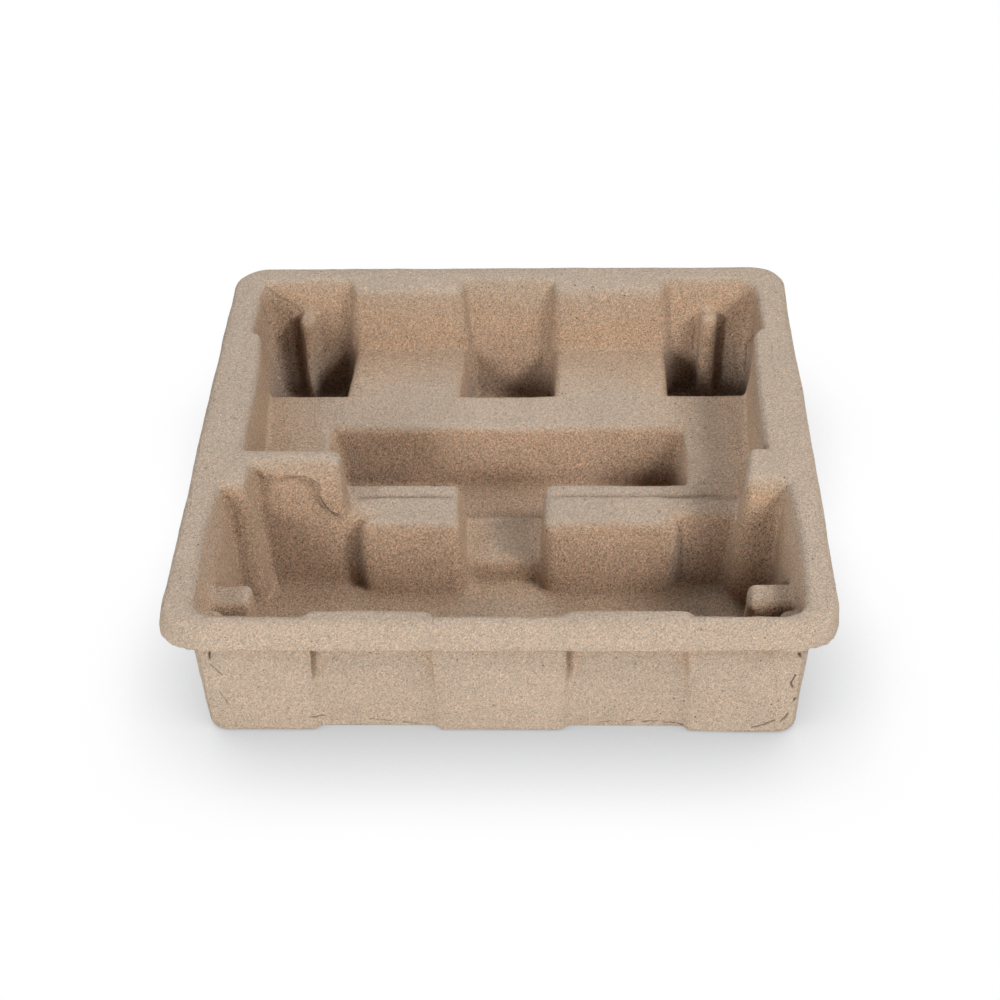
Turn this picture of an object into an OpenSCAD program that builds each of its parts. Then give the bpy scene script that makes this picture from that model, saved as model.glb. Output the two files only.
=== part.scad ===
// Moulded paper-pulp packing tray: one thin shell with a turned-down rim, deep wells and a raised shelf.
// Millimetres. Origin at the middle of the underside, +Z up, +X along the long side, the front at -Y.

/* [Overall size] */
// Length over the rim, left to right
tray_w = 300; // [270:1:330]
// Depth over the rim, front to back
tray_d = 284; // [260:1:310]
// Height from the underside to the rim
tray_h = 76; // [66:1:90]
// Thickness of the pulp
wall = 3.5; // [2.5:0.1:4]
// Thickness of the pulp in the outer side walls
side_wall = 6.7; // [4:0.1:8]

/* [Rim and outer walls] */
// Height of the lip that hangs from the rim
lip_drop = 15; // [8:0.5:24]
// How far the lip leans out at its lower edge
lip_flare = 0.8; // [0:0.1:3]
// Corner radius of the rim seen from above
rim_corner_r = 19; // [10:0.5:24]
// Rim width at the front, to the inner face of the front wall
rim_front = 9.5; // [9:0.5:12]
// Rim width at the sides, to the inner faces of the side walls
rim_side = 17.5; // [15:0.5:22]
// Rim width at the back, to the inner face of the back wall
rim_back = 18; // [15:0.5:22]
// Radius of the tray's inner corners seen from above
inner_corner_r = 9; // [5:0.5:14]

/* [Pulp rounding] */
// Radius on the outward edges of the upper face
edge_r = 4.4; // [4:0.1:5]
// Fillet inside, where the outer walls meet the floor
fillet_r = 2.5; // [0.5:0.1:6]
// Radius on the lower edge of the outer walls
foot_r = 2.2; // [1:0.1:6]
// Radius on the upright edges of the raised forms
upright_r = 5; // [4.5:0.1:6]
// Slope of the outer walls, degrees
outer_draft = 2.5; // [1:0.5:5]
// Slope of the raised forms, degrees
inner_draft = 5; // [2:0.5:7]

/* [Shelf and trough] */
// Depth of the shelf below the rim
shelf_drop = 37; // [30:0.5:44]
// How far the side walls step in beside the shelf
side_step = 6; // [3:0.5:9]
// How far the back wall steps in between the back wells
back_step = 7; // [4:0.5:10]
// Length of the trough, left to right
trough_w = 178; // [150:1:200]
// Near side of the trough, from the front of the rim
trough_front = 142.5; // [138:0.5:150]
// Far side of the trough, from the front of the rim
trough_back = 186; // [176:0.5:192]

/* [Back wells] */
// Front side of the back wells, from the front of the rim
back_well_front = 216; // [208:0.5:224]
// Inner side of the two corner wells, from the middle
corner_well_in = 84.5; // [76:0.5:92]
// Width of the middle back well
middle_well_w = 49; // [40:0.5:60]
// Distance of the wall ribs from the middle
rib_x = 107; // [100:0.5:114]
// Width of the wall ribs
rib_w = 9.6; // [9:0.1:14]
// How far the wall ribs stand out
rib_out = 12; // [9:0.5:18]
// Depth of the rib tops below the rim
rib_drop = 16; // [8:0.5:30]

/* [Dam and channel] */
// Height of the dam above the shelf
dam_rise = 4; // [2:0.5:8]
// Front face of the two dam blocks, from the front of the rim
dam_front = 102.8; // [99:0.1:106]
// Back of the dam, from the front of the rim
dam_back = 128.4; // [122:0.1:132]
// How far the dam is set back beside the blocks
dam_setback = 8; // [4:0.5:9]
// Left end of the left block, from the middle
left_block_end = 66.8; // [58:0.1:70]
// Right end of the right block, from the middle
right_block_end = 80.5; // [70:0.5:90]
// Width of the channel through the dam
channel_w = 39.6; // [30:0.2:50]
// Height of the channel floor above the well floor
channel_rise = 12; // [6:0.5:20]

/* [Posts and tab] */
// Front face of the posts, from the front of the rim
post_front = 97; // [92:0.5:100]
// Back of the posts and of the tab, from the front of the rim
post_back = 125.5; // [121:0.5:128]
// Inner side of the left post, from the middle
left_post_in = 122; // [116:0.5:124]
// Inner side of the right post, from the middle
right_post_in = 115; // [110:0.5:122]
// Front face of the tab, from the front of the rim
tab_front = 111.5; // [108:0.5:113]
// Right end of the tab, from the middle
tab_end = 78.5; // [72:0.5:90]

/* [Front wall and front corners] */
// Distance of the wall panels from the middle
panel_x = 57; // [50:0.5:62]
// Width of the wall panels
panel_w = 58; // [46:0.5:64]
// How far the wall panels stand in
panel_in = 3.7; // [1:0.1:5]
// Distance of the corner fins from the front of the rim
fin_y = 39; // [36:0.5:60]
// Thickness of the corner fins
fin_t = 16; // [12:0.5:20]
// How far the corner fins stand out from the side walls
fin_out = 22.5; // [14:0.5:28]
// Depth of the fin tops below the rim
fin_drop = 16; // [8:0.5:40]
// Length of the corner ledges along the side walls
ledge_l = 18.5; // [14:0.5:21]
// How far the corner ledges stand out from the side walls
ledge_out = 9; // [6:0.5:12]
// Depth of the ledge tops below the rim
ledge_drop = 14; // [8:0.5:40]

/* [Hidden] */
front_y = -tray_d / 2;
back_y = tray_d / 2;
side_x = tray_w / 2 - rim_side;
// how far inside the rim's edge the raised forms end
tuck = 1.7 * wall;
bury_x = tray_w / 2 - tuck;
bury_y = tray_d / 2 - tuck;
shelf_z = tray_h - shelf_drop;
dam_z = shelf_z + dam_rise;
channel_z = wall + channel_rise;
well_front_y = front_y + rim_front;
well_back_y = back_y - rim_back;
tan_in = tan(inner_draft);
tan_out = tan(outer_draft);
// how far a raised form stays below, or ends behind, the form it leans on
sink = 0.06 * wall;
lap = 0.3 * wall;
round_steps = 4;
corner_segs = 28;

// Solid whose plan is a rectangle with round corners, the corner turned from one profile of [radius, height]
module rounded_form(x0, x1, y0, y1, corner, profile) {
    hull()
        for (x = [x0 + corner, x1 - corner], y = [y0 + corner, y1 - corner])
            translate([x, y, 0])
                rotate_extrude($fn = corner_segs)
                    polygon(profile);
}

// Quarter round that ends a profile, from the side of radius r up to the flat at height top
function rounded_top(r, top, e) = [
    for (i = [0 : round_steps])
        let (a = 90 * i / round_steps)
            [r - e * (1 - cos(a)), top - e * (1 - sin(a))]
];

// Raised form with sloping sides and a rounded top, its sides given at its top height.
// With inset it is the same form seen from below, one pulp thickness smaller and plain-edged.
module raised(x0, x1, y0, y1, top, inset = 0, slope = tan_in) {
    c = min(upright_r, (x1 - x0) / 2 - lap / 10, (y1 - y0) / 2 - lap / 10);
    e = min(edge_r, c - lap / 4);
    base = inset > 0 ? -wall : wall / 2;
    r = max(lap / 4, c - inset);
    foot = r + (top - base) * slope;
    shoulder = inset > 0 ? [[r + inset * slope, top - inset]] : rounded_top(r + e * slope, top, e);
    rounded_form(x0, x1, y0, y1, c, concat([[0, base], [foot, base]], shoulder, [[0, top - inset]]));
}

// Rim seen from outside: rounded above, leaning out to the lip
module rim_outside(inset = 0) {
    r = rim_corner_r - inset;
    top = tray_h - inset;
    shoulder = inset > 0 ? [[r - lip_flare, top]] : rounded_top(r - lip_flare, top, edge_r);
    rounded_form(-tray_w / 2, tray_w / 2, front_y, back_y, rim_corner_r,
        concat([[0, -lap], [r, -lap], [r, tray_h - lip_drop]], shoulder, [[0, top]]));
}

// Whole open space inside the outer walls, grown by one pulp thickness for the outer faces
module inner_space(grow = 0) {
    c = inner_corner_r;
    half_w = side_x + (grow > 0 ? side_wall - grow : 0);
    f = grow > 0 ? foot_r : fillet_r;
    r = c + grow;
    bottom = wall - grow;
    low = r - (tray_h - bottom - f) * tan_out;
    top = grow > 0 ? tray_h + wall : tray_h - edge_r;
    high = r - (tray_h - top) * tan_out;
    turn = [
        for (i = [0 : round_steps])
            let (a = 90 * i / round_steps)
                [low - f * (1 - sin(a)), bottom + f * (1 - cos(a))]
    ];
    rounded_form(-half_w, half_w, well_front_y, well_back_y, c,
        concat([[0, bottom]], turn, [[high, top], [0, top]]));
    if (grow == 0) {
        lip = rounded_top(0, tray_h, edge_r);
        for (i = [0 : round_steps - 1]) {
            a = lip[i];
            b = lip[i + 1];
            rounded_form(-side_x, side_x, well_front_y, well_back_y, c,
                [[0, a[1]], [high - a[0], a[1]], [high - b[0], b[1]], [0, b[1]]]);
        }
        rounded_form(-side_x, side_x, well_front_y, well_back_y, c,
            [[0, tray_h], [high + edge_r, tray_h], [high + edge_r, tray_h + wall], [0, tray_h + wall]]);
    }
}

// Every raised form inside the tray
module raised_forms(inset = 0) {
    posts_and_tab(inset);
    shelf(inset);
    dam(inset);
    wall_steps(inset);
    for (s = [0, 1])
        mirror([s, 0, 0]) {
            wall_rib(inset);
            front_panel(inset);
            corner_fin(inset);
            if (inset == 0)
                corner_ledge();
        }
}

// Posts on both sides and the tab on the left, just under the rim
module posts_and_tab(inset) {
    raised(-bury_x, -left_post_in, front_y + post_front, front_y + post_back, tray_h - sink, inset);
    raised(right_post_in, bury_x, front_y + post_front, front_y + post_back, tray_h - sink, inset);
    raised(-bury_x + lap, -tab_end, front_y + tab_front, front_y + post_back - sink,
           tray_h - 3 * sink, inset);
}

// Side walls and back walls that step in beside the shelf
module wall_steps(inset) {
    for (s = [0, 1])
        mirror([s, 0, 0]) {
            raised(side_x - side_step, bury_x + lap, front_y + tab_front - lap,
                   front_y + back_well_front + upright_r, tray_h - 2 * sink, inset);
            raised(middle_well_w / 2, corner_well_in, well_back_y - back_step, bury_y, tray_h - sink, inset);
        }
}

// Shelf around the trough and between the back wells
module shelf(inset) {
    shelf_front = front_y + dam_front + dam_setback + lap;
    raised(-bury_x, bury_x, front_y + trough_back, front_y + back_well_front, shelf_z, inset);
    for (s = [0, 1])
        mirror([s, 0, 0]) {
            raised(trough_w / 2, bury_x - lap, shelf_front + 2 * lap, front_y + back_well_front - 2 * lap,
                   shelf_z - sink, inset);
            raised(channel_w / 2, bury_x + lap, shelf_front, front_y + trough_front,
                   shelf_z - 2 * sink, inset);
            raised(middle_well_w / 2, corner_well_in, front_y + trough_back + upright_r, bury_y - lap,
                   shelf_z - sink, inset);
        }
}

// Dam of two blocks with a channel between them
module dam(inset) {
    half = channel_w / 2;
    block_y = front_y + dam_front;
    back = front_y + dam_back;
    side_y = block_y + dam_setback;
    raised(-left_block_end, -half, block_y, back, dam_z, inset);
    raised(half, right_block_end, block_y, back, dam_z, inset);
    raised(-bury_x - lap, -half - 2 * lap, side_y, back - lap, dam_z - sink, inset);
    raised(half + 2 * lap, bury_x + lap, side_y, back - lap, dam_z - sink, inset);
    raised(-half - 3 * wall, half + 3 * wall, side_y - (dam_z - channel_z) * tan_in,
           front_y + trough_front + (shelf_z - channel_z) * tan_in - lap, channel_z, inset);
}

// Upright rib on the back wall of a corner well
module wall_rib(inset) {
    raised(rib_x - rib_w / 2, rib_x + rib_w / 2, well_back_y - rib_out, bury_y, tray_h - rib_drop,
           inset, tan_out / 2);
}

// Shallow panel that stands in from the front wall, its ends running out in a curve
module front_panel(inset) {
    raised(panel_x - panel_w / 2, panel_x + panel_w / 2, front_y + lip_flare + 3 * sink,
           well_front_y + panel_in, tray_h - sink, inset, tan_out);
}

// Fin on a side wall near the front
module corner_fin(inset) {
    raised(side_x - fin_out, bury_x, front_y + fin_y - fin_t / 2, front_y + fin_y + fin_t / 2,
           tray_h - fin_drop, inset, tan_out);
}

// Ledge between a corner fin and the front wall, where the pulp is thick
module corner_ledge() {
    raised(side_x - ledge_out, side_x + wall, front_y + wall, well_front_y + ledge_l, tray_h - ledge_drop,
           0, tan_out);
}

// Upper face of the tray as a solid
module upper_form() {
    difference() {
        rim_outside();
        inner_space();
    }
    raised_forms();
}

// Open space below the tray
module under_space() {
    difference() {
        union() {
            rim_outside(wall);
            translate([-tray_w, -tray_d, -wall])
                cube([2 * tray_w, 2 * tray_d, wall + tray_h - lip_drop]);
        }
        inner_space(wall);
    }
    raised_forms(wall);
}

// The tray: upper face less the space below it
module pulp_tray() {
    color([0.72, 0.62, 0.51])
        difference() {
            upper_form();
            under_space();
        }
}

pulp_tray();
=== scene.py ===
import math

import bmesh
import bpy
import numpy as np
from mathutils import Matrix, Vector, noise
from mathutils.bvhtree import BVHTree


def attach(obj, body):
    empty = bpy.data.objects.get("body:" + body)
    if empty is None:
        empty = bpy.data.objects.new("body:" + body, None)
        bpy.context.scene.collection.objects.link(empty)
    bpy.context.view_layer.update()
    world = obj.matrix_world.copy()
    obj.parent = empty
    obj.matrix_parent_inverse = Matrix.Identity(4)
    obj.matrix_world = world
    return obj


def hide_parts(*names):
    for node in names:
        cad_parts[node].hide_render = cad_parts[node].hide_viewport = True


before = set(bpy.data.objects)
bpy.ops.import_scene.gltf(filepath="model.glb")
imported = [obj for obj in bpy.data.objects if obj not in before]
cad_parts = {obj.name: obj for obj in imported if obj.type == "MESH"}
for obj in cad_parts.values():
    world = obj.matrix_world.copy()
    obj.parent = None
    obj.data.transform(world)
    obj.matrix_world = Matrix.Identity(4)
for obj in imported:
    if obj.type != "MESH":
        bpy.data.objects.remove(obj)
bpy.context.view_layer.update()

# Lengths are in metres, as the frame is, unless a note says millimetres. All places use the frame's origin.
MM = 0.001
NODE = "pulp_tray"

# Camera: lens and sensor in millimetres, turns in degrees
LENS, SENSOR = 66.94, 36.0
CAMERA_AT = (0.02442, -0.71659, 0.63712)
CAMERA_PITCH, CAMERA_YAW, CAMERA_ROLL = 40.369, 2.188, 1.495

# Light: where each soft box stands (turn from the front to the right, height, in degrees), its watts, its
# side and its tint; how far away all of them stand, and the place they face
BOX_AWAY, BOX_AIM = 1.5, (0, 0, 0.03)
WARM, COOL = (1.01, 1.0, 0.98), (0.93, 1.0, 1.09)
SOFT_BOXES = {
    "front_low_box": (0, 12, 2.0, 0.30, WARM),
    "front_left_low_box": (-35, 16, 4.6, 0.30, WARM),
    "front_left_box": (-35, 27, 7.2, 0.30, WARM),
    "front_right_box": (35, 27, 2.9, 0.30, WARM),
    "right_box": (62, 42, 12.9, 0.45, WARM),
    "back_left_box": (-150, 40, 4.5, 0.30, COOL),
    "back_box": (180, 60, 2.8, 0.30, COOL),
    "back_high_box": (180, 75, 5.6, 0.50, COOL),
}

# Floor: half its side, how far it lies below the tray, its tone, and the shadow close to the tray
FLOOR_REACH, FLOOR_DROP, FLOOR_TONE = 4.0, 0.0002, 0.86
SHADOW_REACH, SHADOW_SAMPLES = 0.070, 16
SHADOW_TONES = ((0.30, (0.48, 0.48, 0.485)), (0.958, (1.0, 1.0, 1.0)))

# Pulp colour: painted shade that makes the deepest hollows darker and browner, up to the pulp's own tone on
# the open faces; from cool fibres to warm ones; specks; and the painted shade inside cracks and creases
PULP_TONES_WITH_HOLLOW_SHADE = ((0.12, (0.474, 0.364, 0.292)), (0.30, (0.600, 0.430, 0.310)), (0.60, (0.612, 0.433, 0.302)),
              (0.76, (0.590, 0.439, 0.322)), (0.93, (0.602, 0.478, 0.375)))
PULP_HUES = ((0.30, (0.90, 1.00, 1.15)), (0.70, (1.10, 1.00, 0.83)))
SPECK_TONE, SPECK_STRENGTH = (0.200, 0.130, 0.085, 1), 0.45
CRACK_SHADE_TONE = (0.060, 0.036, 0.022, 1)

# Pulp grain: the turns of the felted fibres, their stretch, the step from one lay to the next, their
# contrast, and the fineness and share of each layer
FELT_TURNS = ((0.0, 0.0, 0.4), (0.9, 0.3, 1.9), (1.7, 0.8, 2.9), (0.4, 1.3, 0.9))
FELT_STRETCH, FELT_STEP_X, FELT_Y, FELT_STEP_Z = (3.0, 1.0, 1.0), 0.37, 0.11, 0.23
FELT_GAIN, FELT_OFFSET, FELT_MIDDLE = 2.6, -0.8, 0.5
FINE_FELT, FINE_SHARE, COARSE_FELT, COARSE_SHARE = 3000.0, 0.7, 1150.0, 0.3
BROAD_SHARE, CLOSE_SHARE = 0.55, 0.45
SPECK_RARITY, SPECK_SIZE = 0.955, 0.30
CLOUD_HEIGHT, RELIEF = 0.8, 0.0014

# Colours of the slips that lie on the pulp
BARK_TONES = ((0.35, (0.050, 0.032, 0.022)), (0.65, (0.190, 0.120, 0.075)))
PALE_TONES = ((0.35, (0.500, 0.390, 0.290)), (0.65, (0.740, 0.620, 0.500)))
DYES = ((0.0, (0.620, 0.330, 0.100)), (0.30, (0.780, 0.740, 0.690)), (0.62, (0.250, 0.290, 0.330)),
        (0.80, (0.230, 0.260, 0.170)), (0.93, (0.480, 0.110, 0.060)))

# Slips: pieces per square metre, length, width, how far the middle stands off, and seed
FLECKS = (2600.0, 0.0011, 0.00055, 0.00006, 4)
FIBRES = (5200.0, 0.0030, 0.00016, 0.00010, 9)
STRAYS = (260.0, 0.0022, 0.00026, 0.00008, 14)
# Their shape: points along and across, sideways bend, narrowing and arch towards the ends, spread of sizes;
# none lies lower than the foot's edge, and each of the two draws has its own step from the seed
SLIP_ALONG, SLIP_ACROSS = 5, 2
SLIP_BEND, SLIP_TAPER, SLIP_ARCH = 0.55, -2.6, -4.0
SLIP_SMALL, SLIP_LARGE = 0.45, 1.25
SLIP_LOWEST = 0.004
TURN_DRAW, SIZE_DRAW = 3, 7

# Pulp skin: fineness of its mesh, and rounds of smoothing for edges, roots and the front wall's panels
WELD, VOXEL, SKIN_TRIANGLES = 2e-6, 0.0011, 136000
EDGE_ROUNDS, ROOT_ROUNDS, PANEL_ROUNDS = 1, 8, 60
EDGE_SHARE, PANEL_SHARE = 0.5, 0.8
# Roots: how far their smoothing spreads, and the hollowness where it starts and over which it grows
ROOT_SPREAD, ROOT_KEPT = 6, 0.9
ROOT_START, ROOT_RANGE = 0.00002, 0.00010
# Waves: length, height and seed; they fade out at the foot, so that the tray stands flat
WAVES = ((0.030, 0.00042, 11.0), (0.011, 0.00020, 37.0), (0.0045, 0.00011, 71.0))
FOOT_FLAT, FOOT_EASE = 0.0006, 0.004
# Openness: rays for each place, their reach, how far off the skin they start, and rounds of smoothing;
# a normal counts as upright from this share of its length on
OPEN_RAYS, OPEN_REACH, OPEN_START, OPEN_ROUNDS = 24, 0.12, 0.0004, 5
UPRIGHT = 0.9

# Front wall that is worn smooth, in millimetres: depth, half width, foot and top, and how far each end eases
WALL_FRONT, WALL_BACK, WALL_HALF, WALL_FACING = -138, -121, 134, -0.5
WALL_FOOT, WALL_FOOT_EASE, WALL_TOP, WALL_TOP_EASE = 3, 6, 66, 3

# Torn lip, in millimetres: heights, the outline it lies beyond, the front corners, and how far it is torn
LIP_TOP, LIP_EASE, LIP_FOOT = 66.0, 3.0, 58
LIP_HALF_WIDTH, LIP_HALF_DEPTH, LIP_MIDDLE_Y = 137.5, 132.5, -1.0
CORNER_X, CORNER_X_EASE, CORNER_Y, CORNER_Y_EASE = 118, 16, 110, 14
LIP_FRAY, LEFT_TEAR, RIGHT_TEAR, TEAR_SHARPNESS = 0.20, 0.75, 1.5, 0.6
TEAR_WAVES = ((0.0065, 1.0, 23.0), (0.0028, 0.6, 29.0))

# Cracks and creases: how near the mesh is refined, three times over, and how far a line strays from its path
LINE_REACHES, CRACK_REACH, PATH_MARGIN = (0.0030, 0.0018), 0.0009, 0.006
JOG_LENGTH, JOG_SEED, JOG = 0.0022, 5.0, 0.0004

# Each is a path on the skin, in millimetres: points, half width, depth (a ridge is negative), and how much
# shade is painted along it
CRACKS = {
    "foot_left": ([(-87.7, -133.1, 9.6), (-81.1, -129.3, 7.5)], 0.30, 0.6, 0.7),
    "foot_mid_left": ([(-61.4, -129.2, 5.1), (-51.1, -129.1, 3.2)], 0.28, 0.5, 0.7),
    "foot_mid": ([(-45.6, -129.1, 2.5), (-37.8, -129.1, 1.4)], 0.28, 0.5, 0.6),
    "foot_right_a": ([(45.0, -129.1, 2.4), (50.5, -129.1, 3.5)], 0.30, 0.6, 0.8),
    "foot_right_b": ([(57.2, -129.1, 3.5), (61.0, -129.2, 4.3)], 0.30, 0.6, 0.8),
    "foot_right_c": ([(65.5, -129.1, 3.1), (71.9, -129.1, 3.6)], 0.32, 0.7, 0.8),
    "foot_right_d": ([(74.9, -129.1, 3.0), (80.4, -129.1, 3.0), (83.6, -129.9, 1.8)], 0.34, 0.7, 0.9),
    "corner_right_foot": ([(114.9, -132.9, 4.4), (120.0, -133.0, 6.3), (124.8, -133.1, 9.4)], 0.38, 0.9, 1.0),
    "corner_right_turn": ([(128.2, -132.9, 8.2), (129.3, -132.7, 10.2), (130.7, -132.3, 12.5)],
                          0.42, 0.9, 1.0),
    "corner_right_low": ([(132.6, -131.6, 20.5), (133.7, -130.9, 24.5), (133.2, -131.6, 27.2)],
                         0.42, 0.9, 1.0),
    "corner_right_mid": ([(131.5, -132.8, 29.7), (130.4, -133.4, 32.7), (131.7, -133.0, 37.9)],
                         0.40, 0.8, 0.9),
    "corner_right_high": ([(131.9, -133.6, 54.5), (132.6, -133.2, 51.4), (133.5, -132.5, 48.1)],
                          0.48, 1.0, 1.0),
    "corner_left_high": ([(-128.7, -134.8, 53.1), (-129.2, -134.5, 49.1)], 0.42, 0.9, 1.0),
    "corner_left_hair": ([(-129.0, -134.4, 45.3), (-124.7, -134.4, 38.8)], 0.26, 0.5, 0.75),
    "corner_left_low_hair": ([(-127.3, -133.8, 26.8), (-124.1, -133.5, 18.6)], 0.26, 0.4, 0.6),
}
CREASES = {
    "pocket_left_upper": ([(-130.3, 122.4, 74.7), (-125.9, 123.3, 67.7), (-116.0, 123.3, 60.9),
                           (-115.3, 123.3, 59.3)], 1.0, 0.6, 0.15),
    "pocket_left_lower": ([(-132.1, 113.9, 67.4), (-130.7, 118.4, 52.7), (-131.2, 116.8, 50.6)],
                          0.8, 0.5, 0.15),
    "pocket_right": ([(133.7, 108.7, 74.8), (131.6, 113.2, 55.1), (131.4, 111.1, 50.3), (129.3, 119.5, 38.9),
                      (129.4, 118.5, 28.9), (129.4, 117.9, 20.7)], 0.7, 0.6, 0.35),
    "pocket_right_thin": ([(129.1, 121.8, 71.0), (127.8, 121.7, 52.3)], 0.5, 0.3, 0.20),
    "by_right_rib": ([(101.2, 121.9, 47.0), (100.9, 121.2, 33.0)], 0.5, 0.4, 0.25),
    "right_rim": ([(136.0, 63.6, 75.9), (135.6, 55.5, 75.8), (135.7, 47.2, 75.8), (135.1, 36.6, 75.7)],
                  0.6, 0.25, 0.10),
    "over_right_rib": ([(103.9, 123.3, 60.8), (113.1, 123.3, 60.3)], 0.7, -0.4, 0.0),
    "over_left_rib": ([(-114.5, 123.3, 59.3), (-109.0, 123.4, 61.8), (-105.6, 122.5, 59.8)], 0.7, -0.4, 0.0),
    "back_rim": ([(-67.8, 120.3, 75.7), (-54.9, 121.7, 75.8)], 0.5, 0.25, 0.15),
    "block_top": ([(44.1, -34.9, 43.0), (59.8, -33.8, 43.0)], 0.8, -0.35, 0.0),
    "block_left_step": ([(-73.0, -10.6, 38.6), (-50.0, -10.7, 38.6), (-27.0, -10.8, 38.6)], 0.9, 0.3, 0.30),
    "block_right_step": ([(26.0, -11.2, 38.6), (60.0, -11.2, 38.7), (96.0, -10.8, 38.8), (106.0, -9.5, 38.8)],
                         0.9, 0.3, 0.30),
    "tab_fold": ([(-105.3, -31.2, 67.9), (-99.7, -31.2, 67.5), (-93.8, -31.3, 66.7), (-90.7, -31.4, 65.1),
                  (-88.7, -31.5, 63.6)], 0.5, 0.4, 0.40),
    "tab_tuck": ([(-89.0, -32.1, 56.6), (-88.1, -32.4, 53.9), (-86.6, -32.6, 50.9), (-85.1, -32.8, 48.5),
                  (-83.2, -33.0, 46.9), (-80.6, -32.4, 45.3)], 0.5, 0.7, 0.60),
}

# Slow pulls of the shell, from where the solid has its edges to where the photograph shows them: middle,
# reach and shift, all in millimetres
PULLS = (
    ((-125, 82, 40), (8, 42, 26), (-4.0, 0, 0)),
    ((-127, 78, 70), (6, 16, 18), (-1.6, 0, 0)),
    ((-132, 78, 76), (7, 7, 10), (0, 2.5, 0)),
    ((125, 84, 44), (8, 36, 28), (3.3, 0, 0)),
    ((128, 78, 70), (6, 16, 18), (1.0, 0, 0)),
    ((133, 78, 76), (7, 7, 10), (0, 3.8, 0)),
    ((-106.5, 117, 52), (9, 12, 24), (-3.0, 0, 0)),
    ((-101, 117, 18), (5, 12, 26), (-3.2, 0, 0)),
    ((107, 117, 45), (9, 12, 40), (1.5, 0, 0)),
    ((101, 117, 18), (5, 12, 26), (1.4, 0, 0)),
    ((-87, 76, 36), (7, 14, 14), (-1.4, 0, 0)),
    ((-26, 74, 34), (7, 14, 16), (-1.5, 0, 0)),
    ((24, 95, 30), (8, 20, 26), (1.3, 0, 0)),
    ((-19, -14, 34), (9, 30, 24), (-3.3, 0, 0)),
    ((89, 22, 32), (9, 34, 22), (3.1, 0, 0)),
    ((-89, 24, 36), (9, 30, 14), (-2.4, 0, 0)),
    ((114.5, -20, 58), (8, 15, 26), (3.4, 0, 0)),
    ((-112, -103, 48), (9, 14, 24), (-4.2, 0, 0)),
    ((110, -100, 50), (9, 12, 26), (2.0, 0, 0)),
    ((125, -112, 56), (6, 6, 10), (1.8, 0, 0)),
    ((0, -2, 17), (20, 8, 8), (0, 0, 1.6)),
    ((150, 95, 70), (6, 42, 12), (-0.9, 0, 0)),
    ((-148, -131, 62), (12, 14, 8), (-1.7, 0, 0)),
    ((122, -142, 61), (26, 8, 6), (0, 0, 0.8)),
    ((114, -133, 2), (25, 8, 15), (0, -1.0, 0)),
    ((1, 72, 38), (25, 6, 8), (0, -1.1, 0)),
    ((-64, -37, 26), (6, 10, 28), (-4.4, 0, 0)),
    ((82, -36, 26), (7, 9, 28), (3.4, 0, 0)),
    ((-44, -39, 43), (24, 7, 9), (0, 2.2, 0)),
    ((50, -39, 43), (28, 7, 9), (0, 2.2, 0)),
    ((97, -31, 43), (11, 7, 9), (0, 2.2, 0)),
    ((-43, -42, 4), (24, 7, 9), (0, -2.2, 0)),
    ((48, -42, 4), (30, 7, 9), (0, -2.0, 0)),
    ((-124, -102, 60), (9, 9, 9), (0, 0, -2.0)),
    ((134, -85, 73), (6, 45, 9), (3.2, 0, 0)),
    ((-133.5, -88, 73), (6, 45, 9), (-3.2, 0, 0)),
    ((-100, -31, 76), (24, 7, 9), (0, 4.4, 0)),
    ((125, -43.5, 76), (9, 7, 9), (0, 3.6, 0)),
    ((0, 122, 75), (220, 6, 8), (0, 3.4, 0)),
    ((-104, 117, 22), (8, 14, 20), (-3.6, 0, 0)),
)

# The pushed-in place on the tab, in millimetres: its upper fold and the ridge under it as x and z, its right
# edge as z and x, its depth and the height over which it starts by x, the box round it, where its sides ease,
# where the mesh is refined, and the roughness of its edges
TAB_FOLD = ((-124.0, 73.0), (-119.2, 72.3), (-112.0, 70.4), (-105.3, 67.9), (-99.7, 67.5), (-93.8, 66.7),
            (-90.7, 65.1), (-87.7, 62.8), (-80.0, 58.0))
TAB_SIDE = ((42.0, -78.5), (45.1, -80.1), (46.9, -83.2), (48.5, -85.1), (50.9, -86.6), (53.9, -88.1),
            (56.6, -89.0), (59.8, -88.8), (62.8, -87.7), (70.0, -86.0))
TAB_RIDGE = ((-119.0, 52.0), (-112.4, 49.0), (-104.2, 46.6), (-97.1, 44.2), (-90.8, 41.5), (-85.0, 39.0),
             (-79.0, 37.0))
TAB_DEPTH = ((-118.0, 6.6), (-112.0, 6.6), (-100.0, 5.4), (-88.0, 4.4))
TAB_ONSET = ((-116, 12.0), (-108, 8.0), (-101, 3.0), (-96, 1.8), (-88, 2.2))
TAB_LOW, TAB_HIGH, TAB_FRONT = (-124, -42, 36), (-74, -18, 76), -27
TAB_LEFT, TAB_LEFT_EASE, TAB_RIGHT_EASE, TAB_BELOW_POWER = -121.5, 3.2, 2.2, 0.8
TAB_FINE_REACH, TAB_FINE_RIGHT, TAB_FINE_LOW = 4, -78, 42
TAB_ROUGH, TAB_ROUGH_LENGTH, TAB_ROUGH_SEED = 0.5, 0.006, 19.0


# Small tools for node trees

def feed(tree, socket, value):
    """Gives a socket a link or a plain value."""
    if isinstance(value, bpy.types.NodeSocket):
        tree.links.new(value, socket)
    else:
        socket.default_value = value


def put(tree, kind, settings=None, **values):
    """Adds a node, sets its settings and its inputs by name, and returns it."""
    made = tree.nodes.new(kind)
    for key, value in (settings or {}).items():
        setattr(made, key, value)
    for key, value in values.items():
        feed(tree, made.inputs[key.replace("_", " ")], value)
    return made


def calc(tree, operation, *values):
    """A Math node on sockets or numbers, given back as its output."""
    made = put(tree, "ShaderNodeMath", {"operation": operation})
    for socket, value in zip(made.inputs, values):
        feed(tree, socket, value)
    return made.outputs[0]


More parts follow.
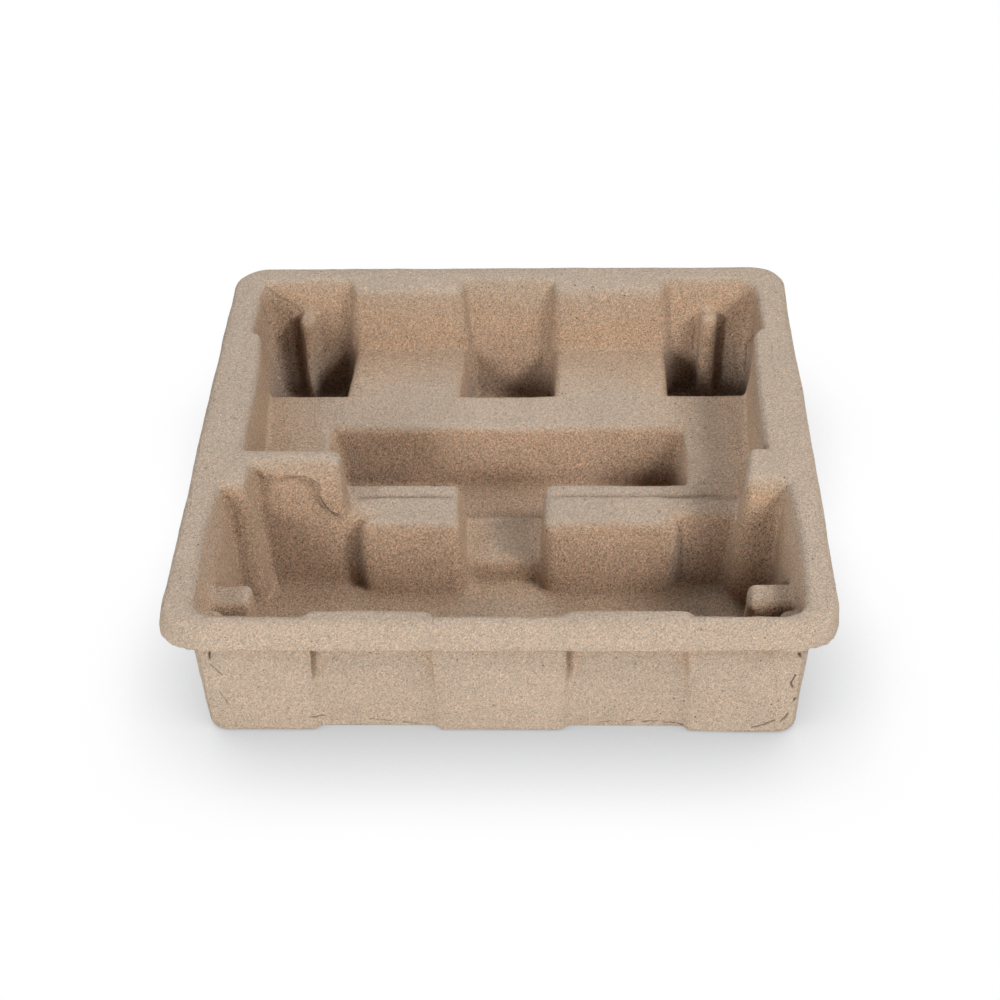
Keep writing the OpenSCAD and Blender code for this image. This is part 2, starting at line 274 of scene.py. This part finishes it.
def blend_colour(tree, factor, a, b, how="MIX"):
    """A colour Mix node, given back as its output."""
    made = put(tree, "ShaderNodeMix", {"data_type": "RGBA", "blend_type": how})
    for index, value in ((0, factor), (6, a), (7, b)):
        feed(tree, made.inputs[index], value)
    return made.outputs[2]


def tinted(tree, colour, tint):
    """A colour times another colour or a grey value."""
    return blend_colour(tree, 1.0, colour, tint, "MULTIPLY")


def ramp_of(tree, value, stops, interpolation="LINEAR"):
    """A colour ramp over a value, from stops of place and colour, given back as its output."""
    made = put(tree, "ShaderNodeValToRGB", Fac=value)
    ramp = made.color_ramp
    ramp.interpolation = interpolation
    first, *between, last = stops
    for stop, (at, colour) in zip(ramp.elements, (first, last)):
        stop.position, stop.color = at, (*colour, 1)
    for at, colour in between:
        ramp.elements.new(at).color = (*colour, 1)
    return made.outputs[0]


def new_group(name, inputs, outputs):
    """An empty shader node group with its sockets, its inner input node and its inner output node."""
    tree = bpy.data.node_groups.new(name, "ShaderNodeTree")
    for label, kind in inputs:
        tree.interface.new_socket(label, in_out="INPUT", socket_type=kind)
    for label, kind in outputs:
        tree.interface.new_socket(label, in_out="OUTPUT", socket_type=kind)
    return tree, tree.nodes.new("NodeGroupInput"), tree.nodes.new("NodeGroupOutput")


def use_group(tree, group, **values):
    """A node that uses a group."""
    return put(tree, "ShaderNodeGroup", {"node_tree": group}, **values)


def new_finish(name):
    """A material with an empty node tree, and that tree."""
    made = bpy.data.materials.new(name)
    made.use_nodes = True
    made.node_tree.nodes.clear()
    return made, made.node_tree


def object_place(tree):
    """The place on the piece, in its own coordinates."""
    return tree.nodes.new("ShaderNodeTexCoord").outputs["Object"]


def show(tree, shader, kind="ShaderNodeOutputMaterial"):
    """Ends a tree with its output node."""
    tree.links.new(shader.outputs[0], tree.nodes.new(kind).inputs[0])


# Finishes of the pulp

def fibre_grain_group():
    """Short fibres felted in every direction: stretched noises laid across each other."""
    tree, inside, out = new_group(
        "felted_fibres",
        [("Vector", "NodeSocketVector"), ("Fineness", "NodeSocketFloat")],
        [("Height", "NodeSocketFloat")])
    total = None
    for index, turn in enumerate(FELT_TURNS):
        laid = put(tree, "ShaderNodeMapping", {"vector_type": "TEXTURE"}, Vector=inside.outputs["Vector"],
                   Rotation=turn, Scale=FELT_STRETCH,
                   Location=(FELT_STEP_X * index, FELT_Y, FELT_STEP_Z * index))
        fibres = put(tree, "ShaderNodeTexNoise", {"noise_dimensions": "3D"}, Vector=laid.outputs[0],
                     Scale=inside.outputs["Fineness"], Detail=2.0, Roughness=0.62)
        value = fibres.outputs[0]
        total = value if total is None else calc(tree, "ADD", total, value)
    average = calc(tree, "MULTIPLY", total, 1.0 / len(FELT_TURNS))
    contrast = calc(tree, "MULTIPLY_ADD", average, FELT_GAIN, FELT_OFFSET)
    tree.links.new(contrast, out.inputs["Height"])
    return tree


def mottle_group():
    """Soft clouding of the pulp, from thumb size down to a few millimetres, and rare small specks."""
    tree, inside, out = new_group(
        "pulp_clouding",
        [("Vector", "NodeSocketVector")],
        [("Cloud", "NodeSocketFloat"), ("Speck", "NodeSocketFloat")])
    place = inside.outputs[0]
    broad = put(tree, "ShaderNodeTexNoise", Vector=place, Scale=28.0, Detail=3.0, Roughness=0.55)
    close = put(tree, "ShaderNodeTexNoise", Vector=place, Scale=190.0, Detail=3.0, Roughness=0.6)
    close_part = calc(tree, "MULTIPLY", close.outputs[0], CLOSE_SHARE)
    mixed = calc(tree, "MULTIPLY_ADD", broad.outputs[0], BROAD_SHARE, close_part)
    tree.links.new(mixed, out.inputs["Cloud"])
    cells = put(tree, "ShaderNodeTexVoronoi", {"feature": "F1"}, Vector=place, Scale=330.0, Randomness=1.0)
    chosen = put(tree, "ShaderNodeSeparateColor", Color=cells.outputs["Color"])
    rare = calc(tree, "GREATER_THAN", chosen.outputs[0], SPECK_RARITY)
    size = calc(tree, "MULTIPLY", chosen.outputs[1], SPECK_SIZE)
    inner = calc(tree, "LESS_THAN", cells.outputs["Distance"], size)
    tree.links.new(calc(tree, "MULTIPLY", rare, inner), out.inputs["Speck"])
    return tree


def pulp_material(grain, mottle):
    """Unbleached paper pulp: greyish beige felt with specks, painted shade that makes the hollows darker and
    browner, and painted shade along the cracks and creases.
    """
    made, tree = new_finish("unbleached_pulp")
    place = object_place(tree)
    fine = use_group(tree, grain, Vector=place, Fineness=FINE_FELT)
    coarse = use_group(tree, grain, Vector=place, Fineness=COARSE_FELT)
    cloud = use_group(tree, mottle, Vector=place)
    coarse_part = calc(tree, "MULTIPLY", coarse.outputs[0], COARSE_SHARE)
    felt = calc(tree, "MULTIPLY_ADD", fine.outputs[0], FINE_SHARE, coarse_part)
    opened = put(tree, "ShaderNodeAttribute", {"attribute_name": "openness"}).outputs["Fac"]
    # Painted shade: the colour gets darker and browner as a place gets less open
    pulp_and_hollow_shade = ramp_of(tree, opened, PULP_TONES_WITH_HOLLOW_SHADE)
    # Painted shade: the grain's contrast is raised in the hollows, standing in for light grazing the rough
    # pulp there
    depth = put(tree, "ShaderNodeMapRange", {"data_type": "FLOAT"}, Value=opened,
                From_Min=0.25, From_Max=0.95, To_Min=2.0, To_Max=1.15)
    around = calc(tree, "SUBTRACT", felt, FELT_MIDDLE)
    strong = calc(tree, "MULTIPLY_ADD", around, depth.outputs[0], FELT_MIDDLE)
    tone = put(tree, "ShaderNodeMapRange", {"data_type": "FLOAT"}, Value=strong,
               From_Min=0.0, From_Max=1.0, To_Min=-0.1, To_Max=2.1)
    toned = tinted(tree, pulp_and_hollow_shade, tone.outputs[0])
    dyed = put(tree, "ShaderNodeTexNoise", {"noise_dimensions": "3D"}, Vector=place, Scale=2400.0,
               Detail=2.0, Roughness=0.6)
    hued = tinted(tree, toned, ramp_of(tree, dyed.outputs[0], PULP_HUES))
    broad = put(tree, "ShaderNodeMapRange", {"data_type": "FLOAT"}, Value=cloud.outputs["Cloud"],
                From_Min=0.3, From_Max=0.7, To_Min=0.94, To_Max=1.06)
    clouded = tinted(tree, hued, broad.outputs[0])
    speck = calc(tree, "MULTIPLY", cloud.outputs["Speck"], SPECK_STRENGTH)
    specked = blend_colour(tree, speck, clouded, SPECK_TONE)
    # Painted shade: cracks and creases are darkened by the share marked along them
    crack_shade = put(tree, "ShaderNodeAttribute", {"attribute_name": "crack_shade"})
    crack_shaded = blend_colour(tree, crack_shade.outputs["Fac"], specked, CRACK_SHADE_TONE)
    height = calc(tree, "ADD", felt, calc(tree, "MULTIPLY", cloud.outputs["Cloud"], CLOUD_HEIGHT))
    bump = put(tree, "ShaderNodeBump", Strength=1.0, Distance=RELIEF, Height=height)
    show(tree, put(tree, "ShaderNodeBsdfPrincipled", Base_Color=crack_shaded, Normal=bump.outputs[0],
                   Roughness=0.95, Specular_IOR_Level=0.10, Diffuse_Roughness=0.6))
    return made


def slip_skin(tree, colour):
    """The dull skin of a fleck or a fibre."""
    show(tree, put(tree, "ShaderNodeBsdfPrincipled", Base_Color=colour, Roughness=0.9,
                   Specular_IOR_Level=0.15))


def fleck_material(name, tones):
    """A fleck or fibre whose colour changes from place to place between two tones."""
    made, tree = new_finish(name)
    spots = put(tree, "ShaderNodeTexNoise", Vector=object_place(tree), Scale=140.0, Detail=1.0)
    slip_skin(tree, ramp_of(tree, spots.outputs[0], tones))
    return made


def stray_material():
    """The odd dyed fibre from old printed paper: rust, white, blue, green or red, one colour to a place."""
    made, tree = new_finish("dyed_fibre")
    cells = put(tree, "ShaderNodeTexVoronoi", {"feature": "F1"}, Vector=object_place(tree), Scale=90.0,
                Randomness=1.0)
    which = put(tree, "ShaderNodeSeparateColor", Color=cells.outputs["Color"])
    slip_skin(tree, ramp_of(tree, which.outputs[0], DYES, "CONSTANT"))
    return made


# The moulded skin

def read_triples(items, field):
    """A mesh's points or normals as rows of three numbers."""
    got = np.empty(len(items) * 3, np.float32)
    items.foreach_get(field, got)
    return got.reshape(-1, 3).astype(np.float64)


def read_points(mesh):
    return read_triples(mesh.vertices, "co")


def read_normals(mesh):
    return read_triples(mesh.vertex_normals, "vector")


def write_points(mesh, points):
    mesh.vertices.foreach_set("co", points.astype(np.float32).ravel())
    mesh.update()


def read_edges(mesh):
    got = np.empty(len(mesh.edges) * 2, np.int32)
    mesh.edges.foreach_get("vertices", got)
    return got.reshape(-1, 2)


def mark(mesh, name, values):
    """Keeps one value for each point, for the finish to read."""
    mesh.attributes.new(name, "FLOAT", "POINT").data.foreach_set("value", values.astype(np.float32).ravel())


def neighbour_mean(values, edges):
    """The mean of each point's neighbours, column by column."""
    count = len(values)
    degree = np.bincount(edges.ravel(), minlength=count)
    total = np.empty_like(values)
    for column in range(values.shape[1]):
        total[:, column] = (np.bincount(edges[:, 0], values[edges[:, 1], column], count)
                            + np.bincount(edges[:, 1], values[edges[:, 0], column], count))
    return total / np.maximum(degree, 1)[:, None]


def relax(values, edges, rounds, share):
    """Draws values towards their neighbours' mean, in place."""
    for _ in range(rounds):
        values += share * (neighbour_mean(values, edges) - values)


def rise(value, start, length):
    """0 up to the start, then evenly up to 1 over the length."""
    return np.clip((value - start) / length, 0, 1)


def eased(share):
    """An even rise from 0 to 1 made soft at both ends."""
    return share * share * (3 - 2 * share)


def wave(points, length, seed):
    """Smooth noise from -1 to 1 at each point, for waves of that length."""
    return np.array([noise.noise(Vector(p)) for p in points / length + seed])


def waves(points, table):
    """Waves of several lengths on top of each other."""
    return sum(height * wave(points, length, seed) for length, height, seed in table)


def along_line(line, value):
    """The second number of a table's line, read off at a value of the first."""
    return np.interp(value, *np.array(line).T)


def soften(mesh):
    """Rounds every edge a little, and the roots, where two faces meet in a hollow, much more."""
    edges, points = read_edges(mesh), read_points(mesh)
    relax(points, edges, EDGE_ROUNDS, EDGE_SHARE)
    write_points(mesh, points)
    hollow = ((neighbour_mean(points, edges) - points) * read_normals(mesh)).sum(1)
    for _ in range(ROOT_SPREAD):
        hollow = np.maximum(hollow, ROOT_KEPT * neighbour_mean(hollow[:, None], edges)[:, 0])
    relax(points, edges, ROOT_ROUNDS, EDGE_SHARE * rise(hollow, ROOT_START, ROOT_RANGE)[:, None])
    write_points(mesh, points)


def ease_front_wall(mesh):
    """Wears the front wall's panel edges, sharp in the solid, down to the photograph's slow swells."""
    points, facing = read_points(mesh), read_normals(mesh)
    x, y, z = points.T / MM
    wall = ((y < WALL_BACK) & (y > WALL_FRONT) & (facing[:, 1] < WALL_FACING) & (np.abs(x) < WALL_HALF)
            & (z < WALL_TOP))
    edges = read_edges(mesh)
    edges = edges[wall[edges].all(1)]
    linked = np.bincount(edges.ravel(), minlength=len(points)) > 0
    share = linked * rise(z, WALL_FOOT, WALL_FOOT_EASE) * np.clip((WALL_TOP - z) / WALL_TOP_EASE, 0, 1)
    relax(points[:, 1:2], edges, PANEL_ROUNDS, (PANEL_SHARE * share)[:, None])
    write_points(mesh, points)


def ripple(mesh):
    """The slow waves and small lumps that a mould's mesh and drying leave in pulp."""
    points = read_points(mesh)
    foot = rise(points[:, 2], FOOT_FLAT, FOOT_EASE)
    points += read_normals(mesh) * (waves(points, WAVES) * foot)[:, None]
    write_points(mesh, points)


def slow_pulls(mesh):
    """Draws the shell's edges to their places in the photograph, by up to about four millimetres."""
    points = read_points(mesh)
    moved = np.zeros_like(points)
    for middle, reach, shift in PULLS:
        away = (points / MM - np.array(middle)) / np.array(reach)
        moved += np.exp(-(away ** 2).sum(1))[:, None] * np.array(shift) * MM
    write_points(mesh, points + moved)


def refine(mesh, chosen):
    """Splits the faces that have a chosen point."""
    work = bmesh.new()
    work.from_mesh(mesh)
    work.verts.ensure_lookup_table()
    edges = {e for i in np.flatnonzero(chosen) for f in work.verts[int(i)].link_faces for e in f.edges}
    bmesh.ops.subdivide_edges(work, edges=sorted(edges, key=lambda e: e.index), cuts=1, use_grid_fill=True)
    bmesh.ops.triangulate(work, faces=[f for f in work.faces if len(f.verts) > 4])
    work.to_mesh(mesh)
    work.free()


def tab_places(points):
    """Each point's x and z, its fold and edge, and whether it lies by the tab and on the tab's front."""
    x, y, z = points.T / MM
    by_tab = ((points / MM > np.array(TAB_LOW)) & (points / MM < np.array(TAB_HIGH))).all(1)
    return x, z, along_line(TAB_FOLD, x), along_line(TAB_SIDE, z), by_tab, by_tab & (y < TAB_FRONT)


def push_tab(mesh):
    """Pushes the tab's upright face in below its fold, where the photograph shows it knocked back."""
    *_, front = tab_places(read_points(mesh))
    refine(mesh, front)
    x, z, fold, side, _, front = tab_places(read_points(mesh))
    by_line = (np.abs(z - fold) < TAB_FINE_REACH) | (np.abs(x - side) < TAB_FINE_REACH)
    refine(mesh, front & by_line & (x < TAB_FINE_RIGHT) & (z > TAB_FINE_LOW))
    points = read_points(mesh)
    x, z, fold, side, by_tab, _ = tab_places(points)
    rough = TAB_ROUGH * wave(points, TAB_ROUGH_LENGTH, TAB_ROUGH_SEED)
    ridge = along_line(TAB_RIDGE, x)
    onset = np.clip((fold + rough - z) / along_line(TAB_ONSET, x), 0, 1)
    below = np.clip((z - ridge) / (fold - ridge), 0, 1) ** TAB_BELOW_POWER
    left = rise(x, TAB_LEFT, TAB_LEFT_EASE)
    right = np.clip((side + rough - x) / TAB_RIGHT_EASE, 0, 1)
    share = eased(onset) * below * eased(left) * eased(right) * by_tab
    points[:, 1] += MM * along_line(TAB_DEPTH, x) * share
    write_points(mesh, points)


def ragged_lip(mesh):
    """The lip's lower edge is torn and fuzzy, most of all at the two front corners."""
    points = read_points(mesh)
    x, y, z = points.T / MM
    edge = np.clip((LIP_TOP - z) / LIP_EASE, 0, 1) * (z > LIP_FOOT)
    out = np.maximum(np.abs(x) - LIP_HALF_WIDTH, np.abs(y - LIP_MIDDLE_Y) - LIP_HALF_DEPTH) > 0
    corner = rise(np.abs(x), CORNER_X, CORNER_X_EASE) * rise(-y, CORNER_Y, CORNER_Y_EASE)
    tear = waves(points, TEAR_WAVES)
    torn = np.sign(tear) * np.abs(tear) ** TEAR_SHARPNESS
    most = np.where(x > 0, RIGHT_TEAR, LEFT_TEAR)
    points[:, 2] += MM * edge * out * (LIP_FRAY * tear + most * corner * torn)
    write_points(mesh, points)


def skin_tree(mesh):
    """The skin, ready for finding the nearest place on it and for casting rays at it."""
    return BVHTree.FromPolygons([tuple(p) for p in read_points(mesh)],
                                [tuple(p.vertices) for p in mesh.polygons])


def on_skin(path, tree):
    """The path in short steps of a millimetre, each laid on the nearest place of the skin."""
    laid = []
    for a, b in zip(path[:-1], path[1:]):
        a, b = np.array(a), np.array(b)
        for step in np.linspace(0, 1, max(2, int(np.linalg.norm(b - a)) + 1)):
            laid.append(tree.find_nearest(Vector((a + step * (b - a)) * MM))[0])
    return np.array([tuple(p) for p in laid])


def path_distance(points, path):
    """Distance from each point to a path of straight stretches, worked out near the path only."""
    best = np.full(len(points), 1.0)
    low, high = path.min(0) - PATH_MARGIN, path.max(0) + PATH_MARGIN
    near = np.flatnonzero(((points > low) & (points < high)).all(1))
    close, gap = points[near], best[near]
    for a, b in zip(path[:-1], path[1:]):
        along = np.clip(((close - a) @ (b - a)) / max((b - a) @ (b - a), 1e-12), 0, 1)
        gap = np.minimum(gap, np.linalg.norm(close - a - along[:, None] * (b - a), axis=1))
    best[near] = gap
    return best


def crack_lines(mesh):
    """Opens the cracks and presses the creases into the skin, and marks how much shade the finish paints
    along them.
    """
    tree = skin_tree(mesh)
    cracks = [(on_skin(path, tree), *rest) for path, *rest in CRACKS.values()]
    lines = cracks + [(on_skin(path, tree), *rest) for path, *rest in CREASES.values()]
    for reach, marks in (*((reach, lines) for reach in LINE_REACHES), (CRACK_REACH, cracks)):
        points = read_points(mesh)
        near = np.zeros(len(points), bool)
        for path, *_ in marks:
            near |= path_distance(points, path) < reach
        refine(mesh, near)
    points, normals = read_points(mesh), read_normals(mesh)
    # Painted shade along each crack and crease, as strong as its tone, for the finish
    painted_shade = np.zeros(len(points))
    jog = np.stack([wave(points, JOG_LENGTH, JOG_SEED + axis) for axis in range(3)], 1) * JOG
    for path, half, depth, tone in lines:
        gap = path_distance(points + jog, path)
        share = np.exp(-(gap / (half * MM)) ** 2)
        points -= normals * (depth * MM * share)[:, None]
        painted_shade = np.maximum(painted_shade, tone * share)
    write_points(mesh, points)
    mark(mesh, "crack_shade", painted_shade)


def mark_openness(mesh):
    """How open each place is, 0 in a deep hollow to 1 on a free face: the share of rays that get away."""
    points, normals = read_points(mesh), read_normals(mesh)
    tree = skin_tree(mesh)
    golden_turn = math.pi * (3 - math.sqrt(5))
    rays = []
    for k in range(OPEN_RAYS):
        out = math.sqrt((k + 0.5) / OPEN_RAYS)
        angle = k * golden_turn
        rays.append((out * math.cos(angle), out * math.sin(angle), math.sqrt(1 - out * out)))
    rays = np.array(rays)
    free = np.empty(len(points))
    for i, (point, normal) in enumerate(zip(points, normals)):
        aside = np.cross(normal, (0, 0, 1) if abs(normal[2]) < UPRIGHT else (1, 0, 0))
        aside /= max(np.linalg.norm(aside), 1e-9)
        heads = rays @ np.stack([aside, np.cross(normal, aside), normal])
        start = Vector(point + normal * OPEN_START)
        free[i] = sum(tree.ray_cast(start, Vector(head), OPEN_REACH)[0] is None for head in heads)
    free = (free / OPEN_RAYS)[:, None]
    relax(free, read_edges(mesh), OPEN_ROUNDS, EDGE_SHARE)
    # The finish paints shade into the hollows from this openness
    mark(mesh, "openness", free)


def settle(piece):
    """Keeps the result of a piece's modifiers as its plain mesh."""
    depsgraph = bpy.context.evaluated_depsgraph_get()
    result = bpy.data.meshes.new_from_object(piece.evaluated_get(depsgraph))
    piece.modifiers.clear()
    piece.data = result


def remade(piece, kind, **settings):
    """Runs one modifier and keeps its result."""
    step = piece.modifiers.new("step", kind)
    for key, value in settings.items():
        setattr(step, key, value)
    settle(piece)


def add_object(name, data):
    """A new object in the scene."""
    made = bpy.data.objects.new(name, data)
    bpy.context.scene.collection.objects.link(made)
    return made


def moulded_tray(finish):
    """The tray's skin: the solid's mesh made fine and even, then shaped and worn step by step."""
    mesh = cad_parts[NODE].data.copy()
    mesh.name = "moulded_tray"
    work = bmesh.new()
    work.from_mesh(mesh)
    bmesh.ops.remove_doubles(work, verts=work.verts, dist=WELD)
    work.to_mesh(mesh)
    work.free()
    tray = add_object("moulded_tray", mesh)
    remade(tray, "REMESH", mode="VOXEL", voxel_size=VOXEL, adaptivity=0.0)
    for shape in (soften, ease_front_wall, ripple, slow_pulls):
        shape(tray.data)
    triangles = sum(len(face.vertices) - 2 for face in tray.data.polygons)
    remade(tray, "DECIMATE", ratio=min(1.0, SKIN_TRIANGLES / triangles), use_collapse_triangulate=True)
    for shape in (push_tab, ragged_lip, crack_lines, mark_openness):
        shape(tray.data)
    tray.data.polygons.foreach_set("use_smooth", np.ones(len(tray.data.polygons), bool))
    remade(tray, "WEIGHTED_NORMAL", mode="FACE_AREA", weight=50)
    tray.data.name = "moulded_tray"
    tray.data.materials.clear()
    tray.data.materials.append(finish)
    tray.data.update()
    return tray


# Flecks and fibres

def scatter_tree(name, finish):
    """Lays small bent slips on a surface, flat to it and turned every way."""
    tree = bpy.data.node_groups.new(name, "GeometryNodeTree")
    tree.interface.new_socket("Geometry", in_out="INPUT", socket_type="NodeSocketGeometry")
    for label in ("Per Area", "Length", "Width", "Lift"):
        tree.interface.new_socket(label, in_out="INPUT", socket_type="NodeSocketFloat")
    tree.interface.new_socket("Seed", in_out="INPUT", socket_type="NodeSocketInt")
    tree.interface.new_socket("Geometry", in_out="OUTPUT", socket_type="NodeSocketGeometry")
    given, out = tree.nodes.new("NodeGroupInput").outputs, tree.nodes.new("NodeGroupOutput")

    def axes():
        place = tree.nodes.new("GeometryNodeInputPosition").outputs[0]
        return put(tree, "ShaderNodeSeparateXYZ", Vector=place).outputs

    def drawn(low, high, step):
        made = put(tree, "FunctionNodeRandomValue", {"data_type": "FLOAT"})
        ends = [s for s in made.inputs if s.name in ("Min", "Max") and s.enabled]
        ends[0].default_value, ends[1].default_value = low, high
        tree.links.new(calc(tree, "ADD", given["Seed"], step), made.inputs["Seed"])
        return next(s for s in made.outputs if s.enabled)

    spread = put(tree, "GeometryNodeDistributePointsOnFaces", Mesh=given["Geometry"],
                 Density=given["Per Area"], Seed=given["Seed"],
                 Selection=calc(tree, "GREATER_THAN", axes()[2], SLIP_LOWEST))
    slip = put(tree, "GeometryNodeMeshGrid", Vertices_X=SLIP_ALONG, Vertices_Y=SLIP_ACROSS,
               Size_X=given["Length"], Size_Y=given["Width"])
    part = axes()
    along = calc(tree, "DIVIDE", part[0], given["Length"])
    square = calc(tree, "MULTIPLY", along, along)
    bend = calc(tree, "MULTIPLY", calc(tree, "MULTIPLY", square, given["Length"]), SLIP_BEND)
    taper = calc(tree, "MULTIPLY_ADD", square, SLIP_TAPER, 1.0)
    across = calc(tree, "MULTIPLY_ADD", part[1], taper, bend)
    arch = calc(tree, "MULTIPLY", calc(tree, "MULTIPLY_ADD", square, SLIP_ARCH, 1.0), given["Lift"])
    shape = put(tree, "ShaderNodeCombineXYZ", X=part[0], Y=across, Z=arch)
    bent = put(tree, "GeometryNodeSetPosition", Geometry=slip.outputs["Mesh"], Position=shape.outputs[0])
    spin = put(tree, "ShaderNodeCombineXYZ", Z=drawn(0.0, 2 * math.pi, TURN_DRAW))
    turned = put(tree, "FunctionNodeRotateRotation", {"rotation_space": "LOCAL"},
                 Rotation=spread.outputs["Rotation"], Rotate_By=spin.outputs[0])
    laid = put(tree, "GeometryNodeInstanceOnPoints", Points=spread.outputs["Points"],
               Instance=bent.outputs[0], Rotation=turned.outputs[0],
               Scale=drawn(SLIP_SMALL, SLIP_LARGE, SIZE_DRAW))
    real = put(tree, "GeometryNodeRealizeInstances", Geometry=laid.outputs[0])
    skin = put(tree, "GeometryNodeSetMaterial", Geometry=real.outputs[0], Material=finish)
    tree.links.new(skin.outputs[0], out.inputs[0])
    return tree


def scattered(name, carrier, finish, kind):
    """One piece of many small slips lying on the carrier's skin."""
    tree = scatter_tree(name + "_layout", finish)
    made = add_object(name, carrier.data.copy())
    layout = made.modifiers.new("layout", "NODES")
    layout.node_group = tree
    values = dict(zip(("Per Area", "Length", "Width", "Lift", "Seed"), kind))
    for socket in tree.interface.items_tree:
        if socket.in_out == "INPUT" and socket.name in values:
            layout[socket.identifier] = values[socket.name]
    settle(made)
    made.data.name = name
    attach(made, "root")


# Stage, light and camera

def seen_directly(tree):
    """1 for rays that show the background itself: camera, mirror and glass rays."""
    path = tree.nodes.new("ShaderNodeLightPath")
    seen = calc(tree, "MAXIMUM", path.outputs["Is Camera Ray"], path.outputs["Is Glossy Ray"])
    return calc(tree, "MAXIMUM", seen, path.outputs["Is Transmission Ray"])


def pale_floor():
    """A white floor that shows as the plain background, with a soft shadow close to the tray."""
    mesh = bpy.data.meshes.new("pale_floor")
    reach = FLOOR_REACH
    mesh.from_pydata([(-reach, -reach, 0), (reach, -reach, 0), (reach, reach, 0), (-reach, reach, 0)], [],
                     [(0, 1, 2, 3)])
    floor = add_object("pale_floor", mesh)
    floor.location.z = -FLOOR_DROP
    made, tree = new_finish("white_paper_floor")
    plain = put(tree, "ShaderNodeBsdfDiffuse", Color=(FLOOR_TONE, FLOOR_TONE, FLOOR_TONE, 1))
    nearness = put(tree, "ShaderNodeAmbientOcclusion", {"samples": SHADOW_SAMPLES}, Distance=SHADOW_REACH)
    white = put(tree, "ShaderNodeEmission", Strength=1.0,
                Color=ramp_of(tree, nearness.outputs["AO"], SHADOW_TONES))
    both = tree.nodes.new("ShaderNodeMixShader")
    for socket, value in zip(both.inputs, (seen_directly(tree), plain.outputs[0], white.outputs[0])):
        tree.links.new(value, socket)
    show(tree, both)
    mesh.materials.append(made)


def soft_box(name, at, size, energy, colour):
    """A square lamp that faces the tray."""
    lamp = bpy.data.lights.new(name, "AREA")
    lamp.shape, lamp.size, lamp.energy, lamp.color = "SQUARE", size, energy, colour
    made = add_object(name, lamp)
    made.location = at
    made.rotation_euler = (Vector(BOX_AIM) - Vector(at)).to_track_quat("-Z", "Y").to_euler()


def studio_light():
    """A white backdrop that lights nothing, and the soft boxes round the tray."""
    world = bpy.data.worlds.new("white_studio")
    world.use_nodes = True
    tree = world.node_tree
    tree.nodes.clear()
    light = put(tree, "ShaderNodeBackground", Color=(1, 1, 1, 1), Strength=seen_directly(tree))
    show(tree, light, "ShaderNodeOutputWorld")
    bpy.context.scene.world = world
    for name, (turn, height, energy, size, tint) in SOFT_BOXES.items():
        turn, height = math.radians(turn), math.radians(height)
        at = (BOX_AWAY * math.sin(turn) * math.cos(height), -BOX_AWAY * math.cos(turn) * math.cos(height),
              BOX_AWAY * math.sin(height))
        soft_box(name, at, size, energy, tint)


def photo_camera():
    """The camera, where the photograph was taken from."""
    lens = bpy.data.cameras.new("photo_camera")
    lens.lens, lens.sensor_width = LENS, SENSOR
    lens.dof.use_dof = False
    camera = add_object("photo_camera", lens)
    turn = (Matrix.Rotation(math.radians(CAMERA_YAW), 4, "Z")
            @ Matrix.Rotation(math.radians(90 - CAMERA_PITCH), 4, "X")
            @ Matrix.Rotation(math.radians(-CAMERA_ROLL), 4, "Z"))
    camera.matrix_world = Matrix.Translation(CAMERA_AT) @ turn
    bpy.context.scene.camera = camera


bpy.context.scene.view_settings.view_transform = "Standard"
photo_camera()
studio_light()
pale_floor()

pulp = pulp_material(fibre_grain_group(), mottle_group())
tray = moulded_tray(pulp)
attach(tray, "root")
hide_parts(NODE)
scattered("dark_flecks", tray, fleck_material("bark_fleck", BARK_TONES), FLECKS)
scattered("pale_fibres", tray, fleck_material("pale_fibre", PALE_TONES), FIBRES)
scattered("dyed_fibres", tray, stray_material(), STRAYS)
